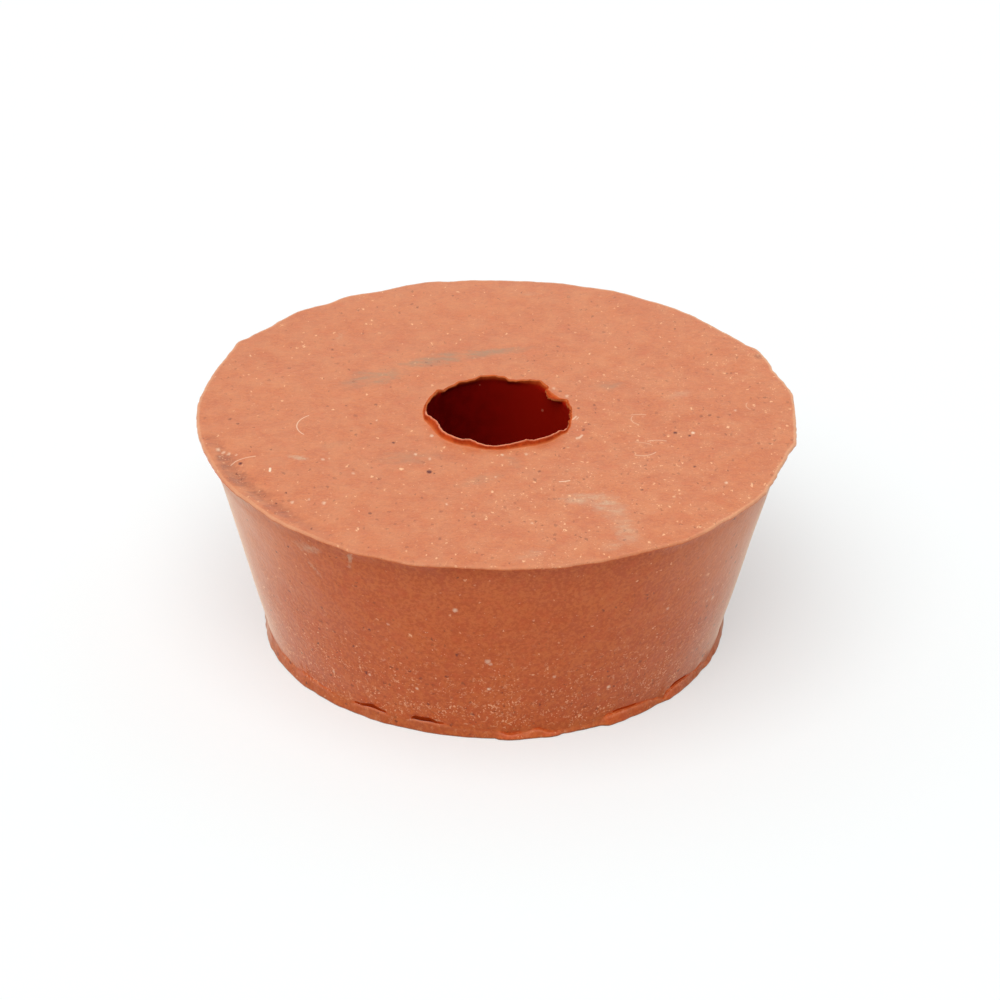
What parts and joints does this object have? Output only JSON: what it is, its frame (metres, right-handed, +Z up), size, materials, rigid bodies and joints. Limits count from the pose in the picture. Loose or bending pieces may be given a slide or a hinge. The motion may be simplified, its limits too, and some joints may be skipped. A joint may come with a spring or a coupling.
{
  "type": "rubber stopper",
  "caption": "Tapered red rubber stopper with a hole through its axis, a thin moulding lip round the top edge and the hole's mouth, and a low band round the foot.",
  "frame": {"origin": "centre of the flat base, on the surface it stands on", "axes": "+Z up along the hole, from the narrow base to the wide top face; the body is the same all round it"},
  "size_m": [0.064, 0.064, 0.0258],
  "materials": {
    "red_rubber": "dull moulded terracotta-red rubber with a fine pale bloom, dust and small dark flecks"
  },
  "bodies": {
    "root": {"stopper": "red_rubber"}
  },
  "joints": []
}
